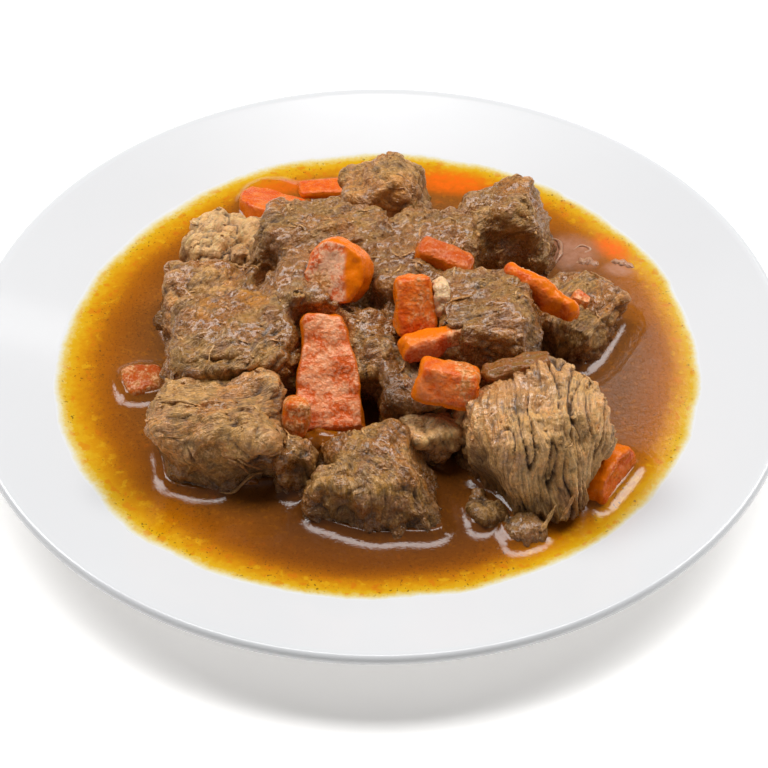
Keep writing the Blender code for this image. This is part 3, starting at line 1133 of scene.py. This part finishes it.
def looseFibres(tree):
    # short fibres lying on the heap, each snapped to the surface along its length
    strips = []
    for x, y, hit, _ in scattered(tree, fibres):
        turn, length = random.uniform(0, 2 * math.pi), random.uniform(*fibres["length"])
        thick = random.uniform(*fibres["thick"])
        path = []
        for share in (-0.5, -0.17, 0.17, 0.5):
            bend = turn + share * random.uniform(-0.8, 0.8)
            at = Vector((x + math.cos(bend) * length * share, y + math.sin(bend) * length * share, hit.z))
            touch, out, _, _ = tree.find_nearest(at)
            path.append(tuple(touch + out * thick * 0.5))
        strips.append(dict(path=path, thick=thick))
    return strips


def ball(subdivisions):
    # the points and triangles of a ball of radius 1
    bm = bmesh.new()
    bmesh.ops.create_icosphere(bm, subdivisions=subdivisions, radius=1)
    points = np.array([v.co[:] for v in bm.verts])
    faces = np.array([[v.index for v in f.verts] for f in bm.faces])
    bm.free()
    return points, faces


def makeCrumbs(tree):
    # little lumps of meat, onion and spice held in the gravy
    shape, sides = ball(2)
    points, faces, light = [], [], []
    for x, y, hit, normal in scattered(tree, crumbs):
        size = random.uniform(*crumbs["size"])
        lump = shape * (size * random.uniform(0.4, 1.25, 3))
        lump = lump * (1 + 0.6 * noise(shape * 1.7, x + y))[:, None]
        faces.append(sides + len(points) * len(shape))
        points.append(lump + np.array(hit + normal * size * 0.25))
        light.append(np.full(len(shape), random.uniform(*crumbs["light"])))
    points = np.concatenate(points)
    made = meshObject("meat_crumbs", points, np.concatenate(faces).tolist())
    store(made.data, grain=points, light=np.concatenate(light), wet=0.5)
    return place(made, "beef")


def makeShreds(tree):
    made = makeStrands("meat_shreds", [laid(tree, strip) for strip in shreds] + looseFibres(tree))
    store(made.data, wet=0.3, light=0.3)
    return place(made, "beef")


def makeOnionStrips():
    made = makeStrands("onion_strips", onionStrips)
    store(made.data, pale=0.3, pink=0.85)
    return place(made, "onion")


flesh = [piece.data for piece in food if piece.name.startswith(("meat", "gravy"))]
fleshTree = searchTree([(readPoints(mesh), readTriangles(mesh)) for mesh in flesh])
makeShreds(fleshTree)
makeOnionStrips()
makeCrumbs(fleshTree)
print("shreds and crumbs made")


# sunk pieces colour the sauce above them: middle, half lengths and turn, in millimetres and degrees
sunkPieces = [
    dict(kind="carrot", at=(25, 90), half=(14, 6), turn=-10),
    dict(kind="carrot", at=(-34, 85), half=(11, 4.5), turn=15, share=0.7),
    dict(kind="carrot", at=(80.5, 54), half=(7, 4.5), turn=-48),
    dict(kind="onion", at=(82, 43), half=(5, 3), turn=-15),
    dict(kind="onion", at=(66, 52), half=(9, 8), turn=0),
]
# by the angle round the plate: how far out the sauce reaches, how fast it deepens, and how dark the painted
# shade makes its deep part at the front
shore = [
    (0, 105.0, 1.35, 0),
    (45, 105.4, 1.2, 0),
    (70, 106.0, 1.1, 0),
    (110, 105.8, 1.0, 0),
    (143, 104.8, 1.0, 0),
    (180, 106.0, 1.0, 0),
    (205, 107.8, 0.95, 0),
    (226, 109.6, 0.95, 0),
    (240, 108.0, 1.1, 0.3),
    (250, 106.6, 1.3, 0.55),
    (270, 105.0, 1.5, 0.6),
    (290, 105.6, 1.4, 0.5),
    (305, 106.4, 1.3, 0),
    (320, 107.0, 1.2, 0),
    (340, 105.6, 1.3, 0),
    (360, 105.0, 1.35, 0),
]


def waterline(low, high):
    # the part of the food near the sauce's level, for measuring distances to it
    shapes = []
    for points, mesh in wetShapes:
        index = readTriangles(mesh)
        height = points[:, 2][index]
        index = index[(height.max(1) > low) & (height.min(1) < high)]
        used, index = np.unique(index, return_inverse=True)
        shapes.append((points[used], index.reshape(-1, 3)))
    return searchTree(shapes)


def climbed(flat, radius):
    # how far the sauce climbs the pieces that stand in it, from 0 to 1
    tree = waterline(pool["level"] - 4, pool["level"] + 5)
    above = pool["level"] + 0.4  # measured just over the level
    rise = np.zeros(len(flat))
    for i in np.flatnonzero(radius <= pool["dry"]):
        at = Vector((*flat[i], above))
        touch, normal, _, distance = tree.find_nearest(at, pool["far"])
        if touch is not None:
            inside = (at - touch).dot(normal) < 0
            rise[i] = 1.0 if inside else math.exp(-distance / pool["reach"])
    return rise


def sunkTints(flat):
    # where the sunk pieces show, for each kind
    tints = {"sunk_carrot": np.zeros(len(flat)), "sunk_onion": np.zeros(len(flat))}
    for bit in sunkPieces:
        a = math.radians(bit["turn"])
        off = flat - bit["at"]
        u = (off @ (math.cos(a), math.sin(a))) / bit["half"][0]
        v = (off @ (-math.sin(a), math.cos(a))) / bit["half"][1]
        kind = "sunk_" + bit["kind"]
        tints[kind] = np.maximum(tints[kind], bit.get("share", 1.0) * step(1.5, 0.4, np.hypot(u, v)))
    return tints


def makeSauce():
    around = pool["around"]
    radii = np.concatenate([
        np.arange(pool["coarse"], pool["inner"], pool["coarse"]),
        np.arange(pool["inner"], pool["edge"], pool["fine"]),
        [pool["edge"]],
    ])
    angles = np.arange(around) * (2 * math.pi / around)
    ring = np.stack([np.cos(angles), np.sin(angles)], axis=1)
    flat = (radii[:, None, None] * ring[None]).reshape(-1, 2)
    radius = np.repeat(radii, around)
    turn = np.tile(angles, len(radii))

    # how far in from the thin edge each point stands
    wander = noise(np.column_stack([flat / 16, radius * 0]), 50)
    ragged = noise(np.column_stack([flat / 5, radius * 0]), 52)
    angle, reach, steep, dark = zip(*shore)
    broad, fine = pool["ragged"]
    edge = np.interp(np.degrees(turn), angle, reach) + broad * wander + fine * ragged
    inward = (edge - radius) * np.interp(np.degrees(turn), angle, steep)
    # painted shade over the deep sauce at the front
    dark = np.interp(np.degrees(turn), angle, dark) * step(9, 22, inward)

    # level in the well, and a film that thins out as it follows the rim
    film = plateHeight(radius) + np.clip(inward * pool["thicken"], *pool["film"])
    gap, bend = film - pool["level"], pool["bend"]
    height = pool["level"] + 0.5 * (gap + np.sqrt(gap * gap + bend * bend * step(-2, 6, inward)))
    height += climbed(flat, radius) * pool["climb"]
    top = np.column_stack([flat, height])
    count = len(top)
    faces = [(count, j, (j + 1) % around) for j in range(around)]
    for i in range(len(radii) - 1):
        a, b = i * around, (i + 1) * around
        faces += [(a + j, b + j, b + (j + 1) % around, a + (j + 1) % around) for j in range(around)]
    points = [top, [(0, 0, pool["level"])]]

    # the underside, a little way into the plate
    offset, previous = count + 1, (len(radii) - 1) * around
    for r in [*np.linspace(pool["edge"] - 0.05, plate["well"], 12), pool["underside"]]:
        points.append(np.column_stack([ring * r, np.full(around, plateHeight(r) - pool["sunk"])]))
        faces += [
            (previous + j, offset + j, offset + (j + 1) % around, previous + (j + 1) % around)
            for j in range(around)
        ]
        previous, offset = offset, offset + around
    faces += [(previous + j, offset, previous + (j + 1) % around) for j in range(around)]
    points.append([(0, 0, plate["floor"] - pool["sunk"])])
    points = np.concatenate(points)
    made = meshObject("sauce_pool", points, faces)
    hidden = len(points) - count
    store(made.data, inward=np.append(inward, np.full(hidden, pool["hidden"])))
    for name, values in dict(dark=dark, **sunkTints(flat)).items():
        store(made.data, **{name: np.append(values, np.zeros(hidden))})
    return place(made, "sauce", "sauce")


# gravy held in the gaps above the pool: middle and half sizes
puddles = [
    ((-19, -45, 18.5), (10, 6, 5.5)),
    ((-41, -56, 14.5), (5, 4, 3.5)),
]


def makePuddles():
    shape, sides = ball(5)
    points, faces = [], []
    for number, (at, half) in enumerate(puddles):
        lump = shape * half
        lump += shape * (noise(lump / 3.5, number) * 0.8 + noise(lump / 1.5, number + 5) * 0.25)[:, None]
        faces.append(sides + number * len(shape))
        points.append(lump + at)
    made = meshObject("gravy_puddles", np.concatenate(points), np.concatenate(faces).tolist())
    # a little painted shade on the puddles
    store(made.data, inward=17.0, dark=0.2)  # as deep a brown as the sauce 17 mm in from its edge
    return place(made, "sauce")


sauce = makeSauce()
makePuddles()
print("sauce made,", len(sauce.data.polygons), "faces")


# the lights are in metres and watts: where each is, what it points at, its power and its size
studio = {
    "floor": {
        "Base Color": colour(0.95, 0.945, 0.935),
        "Roughness": 0.8,
        "Emission Color": colour(1, 0.965, 0.925),
        "Emission Strength": 0.28,
    },
    "half": 6000,  # half the floor's width, in millimetres
    "world": {"Color": colour(0.95, 0.97, 1.0), "Strength": 0.12},
    "lights": {
        "softbox": dict(at=(0, 0.35, 1.5), aim=(0, 0, 0.02), power=13.6, size=(1.2, 0.45)),
        "left": dict(at=(-0.85, 0.5, 1.1), aim=(0, 0, 0.02), power=9.5, size=(0.62, 0.62)),
        "right": dict(at=(0.85, 0.5, 1.1), aim=(0, 0, 0.02), power=9.5, size=(0.62, 0.62)),
        # a small one that shows as a pale window in the sauce at the right
        "card": dict(
            at=(0.2215, 0.9, 0.8965), aim=(0.2215, 0, 0.8965), power=0.13, size=(0.08, 0.126), roll=36.5,
        ),
    },
}


def addLight(name, at, aim, power, size, roll=0):
    data = bpy.data.lights.new(name, "AREA")
    data.energy = power
    data.shape = "RECTANGLE"
    data.size, data.size_y = size
    made = addObject(name, data)
    made.location = at
    turn = (Vector(aim) - Vector(at)).to_track_quat("-Z", "Y")
    made.rotation_euler = (turn @ Quaternion((0, 0, 1), math.radians(roll))).to_euler()
    made.visible_camera = False


def makeStage():
    half = studio["half"]
    points = [(-half, -half, -0.2), (half, -half, -0.2), (half, half, -0.2), (-half, half, -0.2)]
    floor = meshObject("floor", points, [(0, 1, 2, 3)], smooth=False)
    floor.data.materials.append(newMaterial("pale floor", studio["floor"])[0])

    world = bpy.data.worlds.new("studio")
    world.use_nodes = True
    for key, value in studio["world"].items():
        world.node_tree.nodes["Background"].inputs[key].default_value = value
    bpy.context.scene.world = world
    for name, settings in studio["lights"].items():
        addLight(name, **settings)


camera = {
    "elevation": 44.4,
    "distance": 0.75,
    "target": (0.0014, -0.0132, 0.014),
    "lens": 107.8,
    "sensor": 36.0,
    "clip": (0.01, 30.0),
}


def makeCamera():
    data = bpy.data.cameras.new("camera")
    data.lens = camera["lens"]
    data.sensor_width = camera["sensor"]
    data.clip_start, data.clip_end = camera["clip"]
    made = addObject("camera", data)
    up = math.radians(camera["elevation"])
    back = Vector((0, -math.cos(up), math.sin(up)))
    made.location = Vector(camera["target"]) + back * camera["distance"]
    made.rotation_euler = (-back).to_track_quat("-Z", "Y").to_euler()
    bpy.context.scene.camera = made


makeStage()
makeCamera()
bpy.context.scene.view_settings.view_transform = "Standard"
print("stage, light and camera made")
